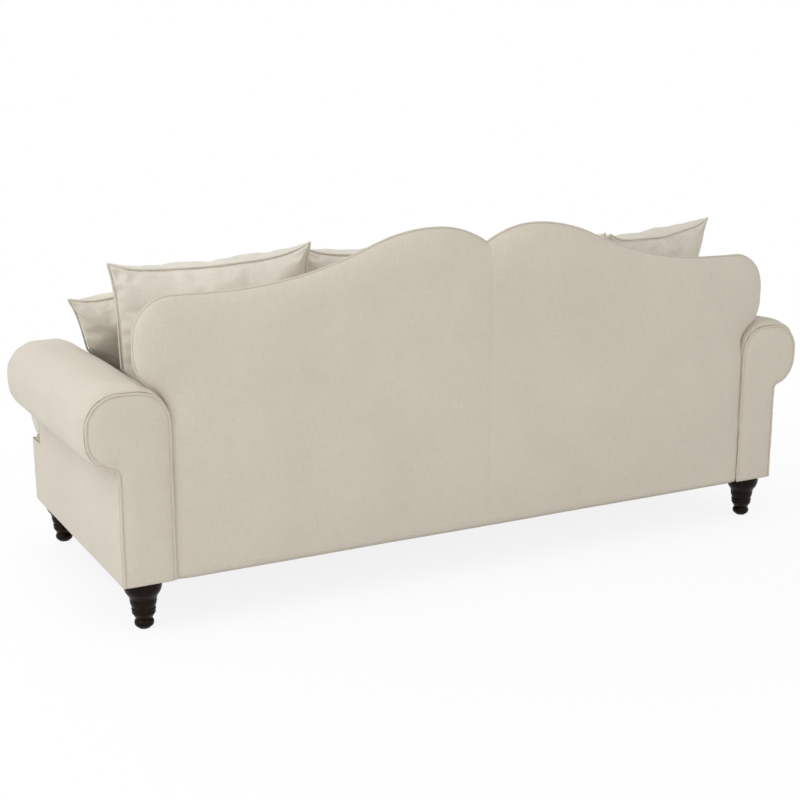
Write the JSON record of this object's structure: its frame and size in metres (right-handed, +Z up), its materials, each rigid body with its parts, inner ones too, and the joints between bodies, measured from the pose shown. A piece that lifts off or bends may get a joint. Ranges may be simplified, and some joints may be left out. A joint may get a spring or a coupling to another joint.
{
  "type": "sofa",
  "caption": "Camelback sofa with rolled arms, a winged double-hump back, loose T-shaped seat cushions and piped pillows on turned feet.",
  "frame": {"origin": "on the floor under the middle of the sofa", "axes": "+Z up, +X along the seat to the right as seen from the front, the front faces -Y"},
  "size_m": [2.173, 0.851, 0.922],
  "materials": {
    "foot_wood": "dark stained, semi-gloss",
    "felt": "pressed felt",
    "steel": "zinc plated",
    "piping": "sewn cord",
    "pillow_linen": "plain weave",
    "throw_linen": "plain weave",
    "seat_linen": "plain weave",
    "back_linen": "plain weave",
    "border_linen": "plain weave",
    "arm_linen": "plain weave",
    "panel_linen": "plain weave",
    "deck_cloth": "plain weave",
    "dust_cloth": "thin non-woven",
    "foam": "open-cell foam",
    "webbing": "elastic weave",
    "plywood": "unfinished plywood",
    "frame_wood": "unfinished softwood"
  },
  "bodies": {
    "frame": {"arm_cover_left": "arm_linen", "arm_cover_right": "arm_linen", "arm_foam_left": "foam", "arm_foam_right": "foam", "arm_former_front_left": "plywood", "arm_former_front_right": "plywood", "arm_former_rear_left": "plywood", "arm_former_rear_right": "plywood", "arm_front_panel_left": "panel_linen", "arm_front_panel_right": "panel_linen", "arm_piping_left": "piping", "arm_piping_right": "piping", "arm_rear_panel_left": "panel_linen", "arm_rear_panel_right": "panel_linen", "arm_slats_left": "frame_wood", "arm_slats_right": "frame_wood", "back_bottom_rail": "frame_wood", "back_foam": "foam", "back_piping": "piping", "back_post_center": "frame_wood", "back_post_left": "frame_wood", "back_post_right": "frame_wood", "back_top_rail": "frame_wood", "back_webbing": "webbing", "deck_cover": "deck_cloth", "deck_pad": "foam", "dust_cover": "dust_cloth", "foot_front_left": "foot_wood", "foot_front_right": "foot_wood", "foot_glides": "felt", "foot_hanger_bolts": "steel", "foot_rear_left": "foot_wood", "foot_rear_right": "foot_wood", "foot_t_nuts": "steel", "front_border_cover": "panel_linen", "front_deck_board": "frame_wood", "front_foot_blocks": "frame_wood", "inside_back_cover": "border_linen", "outside_arm_panel_left": "panel_linen", "outside_arm_panel_right": "panel_linen", "outside_back_panel_left": "back_linen", "outside_back_panel_right": "back_linen", "rear_foot_blocks": "frame_wood", "seat_center_rail": "frame_wood", "seat_front_rail": "frame_wood", "seat_inner_rail": "frame_wood", "seat_rear_rail": "frame_wood", "seat_side_rail_left": "frame_wood", "seat_side_rail_right": "frame_wood", "seat_webbing_cross": "webbing", "seat_webbing_long": "webbing"},
    "seat_cushion_left": {"seat_cushion_left": "seat_linen"},
    "seat_cushion_right": {"seat_cushion_right": "seat_linen"},
    "back_pillow_outer_left": {"back_pillow_outer_left": "pillow_linen"},
    "back_pillow_inner_left": {"back_pillow_inner_left": "pillow_linen"},
    "back_pillow_inner_right": {"back_pillow_inner_right": "pillow_linen"},
    "back_pillow_outer_right": {"back_pillow_outer_right": "pillow_linen"},
    "throw_pillow": {"throw_pillow": "throw_linen"}
  },
  "joints": [
    {"name": "seat_cushion_left_lift", "type": "slide", "parent": "frame", "child": "seat_cushion_left", "axis": [0, 0, 1], "range_m": [0, 0.4]},
    {"name": "seat_cushion_right_lift", "type": "slide", "parent": "frame", "child": "seat_cushion_right", "axis": [0, 0, 1], "range_m": [0, 0.4]},
    {"name": "back_pillow_outer_left_lift", "type": "slide", "parent": "seat_cushion_left", "child": "back_pillow_outer_left", "axis": [0, 0, 1], "range_m": [0, 0.45]},
    {"name": "back_pillow_inner_left_lift", "type": "slide", "parent": "seat_cushion_left", "child": "back_pillow_inner_left", "axis": [0, 0, 1], "range_m": [0, 0.45]},
    {"name": "back_pillow_inner_right_lift", "type": "slide", "parent": "seat_cushion_right", "child": "back_pillow_inner_right", "axis": [0, 0, 1], "range_m": [0, 0.45]},
    {"name": "back_pillow_outer_right_lift", "type": "slide", "parent": "seat_cushion_right", "child": "back_pillow_outer_right", "axis": [0, 0, 1], "range_m": [0, 0.45]},
    {"name": "throw_pillow_lift", "type": "slide", "parent": "seat_cushion_right", "child": "throw_pillow", "axis": [0, 0, 1], "range_m": [0, 0.45]}
  ]
}
